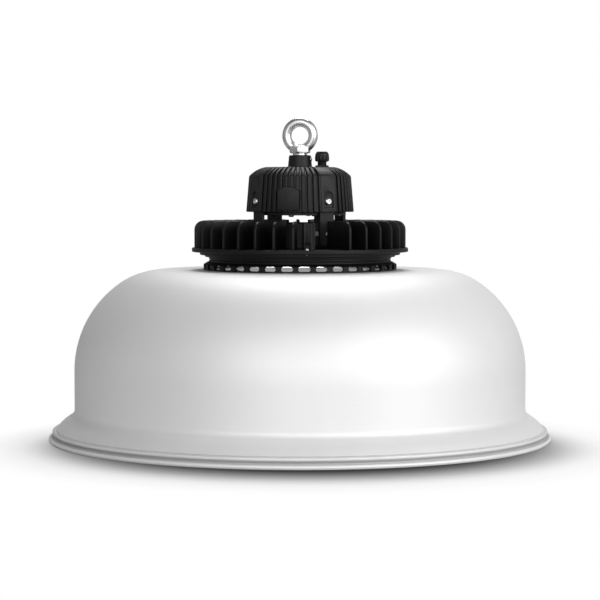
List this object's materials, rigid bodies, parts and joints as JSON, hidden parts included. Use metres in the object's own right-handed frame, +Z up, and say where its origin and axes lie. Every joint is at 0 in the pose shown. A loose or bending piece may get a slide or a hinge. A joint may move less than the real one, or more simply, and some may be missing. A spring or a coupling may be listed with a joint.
{
  "type": "high bay light",
  "caption": "Hanging industrial light: ribbed round driver on legs over a finned lamp, above a wide spun dome reflector with a flared rim, hung from an eye bolt.",
  "frame": {"origin": "centre of the rim's lower face", "axes": "+Z up along the light's axis, -Y towards the label pad, +X towards the supply gland"},
  "size_m": [0.501, 0.501, 0.3201],
  "materials": {
    "shade_aluminium": "spun, finely brushed",
    "collar_black": "satin",
    "black_casting": "satin powder coat over a die casting",
    "black_driver": "satin powder coat over a die casting",
    "zinc_steel": "bright zinc plate",
    "black_plastic": "moulded nylon",
    "grey_plastic": "moulded nylon",
    "rubber": "matt",
    "lens": "clear polycarbonate",
    "silicone": "matt",
    "led_board": "white solder mask over aluminium",
    "led_chip": "phosphor under silicone",
    "green_board": "glass-fibre board",
    "ferrite": "sintered",
    "winding": "taped winding",
    "copper": "enamelled copper wire",
    "capacitor_can": "sleeved can",
    "green_terminal": "moulded"
  },
  "bodies": {
    "root": {"reflector": "shade_aluminium", "reflector_collar": "collar_black", "reflector_rivets": "zinc_steel", "bezel_ring": "black_casting", "lens_plate": "lens", "lens_gasket": "silicone", "led_board": "led_board", "led_chips": "led_chip", "heat_sink": "black_casting", "driver_leg_1": "black_driver", "driver_leg_2": "black_driver", "driver_leg_3": "black_driver", "driver_leg_4": "black_driver", "driver_housing": "black_driver", "driver_base_cover": "black_driver", "driver_gasket": "rubber", "driver_circuit_board": "green_board", "transformer_core": "ferrite", "transformer_winding": "winding", "choke": "copper", "capacitors": "capacitor_can", "terminal_block": "green_terminal", "driver_lead": "rubber", "upper_lead_grommet": "rubber", "lower_lead_grommet": "rubber", "lead_clip": "grey_plastic", "eye_bolt": "zinc_steel", "spring_washer": "zinc_steel", "grub_screw": "zinc_steel", "cable_gland_body": "black_plastic", "cable_gland_cap": "black_plastic", "cable_gland_seal": "rubber", "cable_gland_locknut": "black_plastic", "leg_base_screws": "zinc_steel", "bezel_screws": "zinc_steel", "collar_screws": "zinc_steel", "led_board_screws": "zinc_steel", "driver_cover_screws": "zinc_steel", "driver_board_screws": "zinc_steel", "boss_screw": "zinc_steel", "leg_top_screws": "zinc_steel"}
  },
  "joints": []
}
